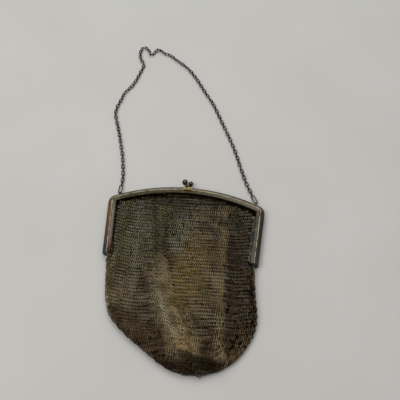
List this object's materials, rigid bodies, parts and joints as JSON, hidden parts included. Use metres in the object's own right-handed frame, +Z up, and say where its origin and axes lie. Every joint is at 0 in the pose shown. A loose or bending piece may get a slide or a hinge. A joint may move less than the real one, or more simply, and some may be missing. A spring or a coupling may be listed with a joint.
{
  "type": "metal mesh purse",
  "caption": "Ring-mesh purse lying on its back: arched kiss-lock frame with two legs, hollow mesh bag with a slack front fold, and a carrying chain laid out beyond the crown.",
  "frame": {"origin": "on the arch band at the crown, 3 mm inside its outer edge, on the flat back face of the back frame half, which lies on the surface", "axes": "+X along the frame's width, +Y from the bag toward the chain, +Z up from the surface the purse lies on, out of its front"},
  "size_m": [0.1399, 0.3101, 0.0152],
  "materials": {
    "frame_silver": "tarnished nickel silver, worn bright along the ridge",
    "clasp_brass": "dull yellow brass foot under a polished ball",
    "clasp_steel": "polished dark ball",
    "ring_mesh": "fine metal rings, browned, with bright worn tops",
    "chain_gunmetal": "dark oxidised wire"
  },
  "bodies": {
    "root": {"frame_back": "frame_silver", "frame_front": "frame_silver", "clasp_knob_front": "clasp_brass", "clasp_knob_back": "clasp_steel", "hinge_pin_left": "chain_gunmetal", "hinge_pin_right": "chain_gunmetal", "mesh_bag": "ring_mesh", "chain_end_link_left": "chain_gunmetal", "chain_end_link_right": "chain_gunmetal", "chain": "chain_gunmetal"}
  },
  "joints": []
}
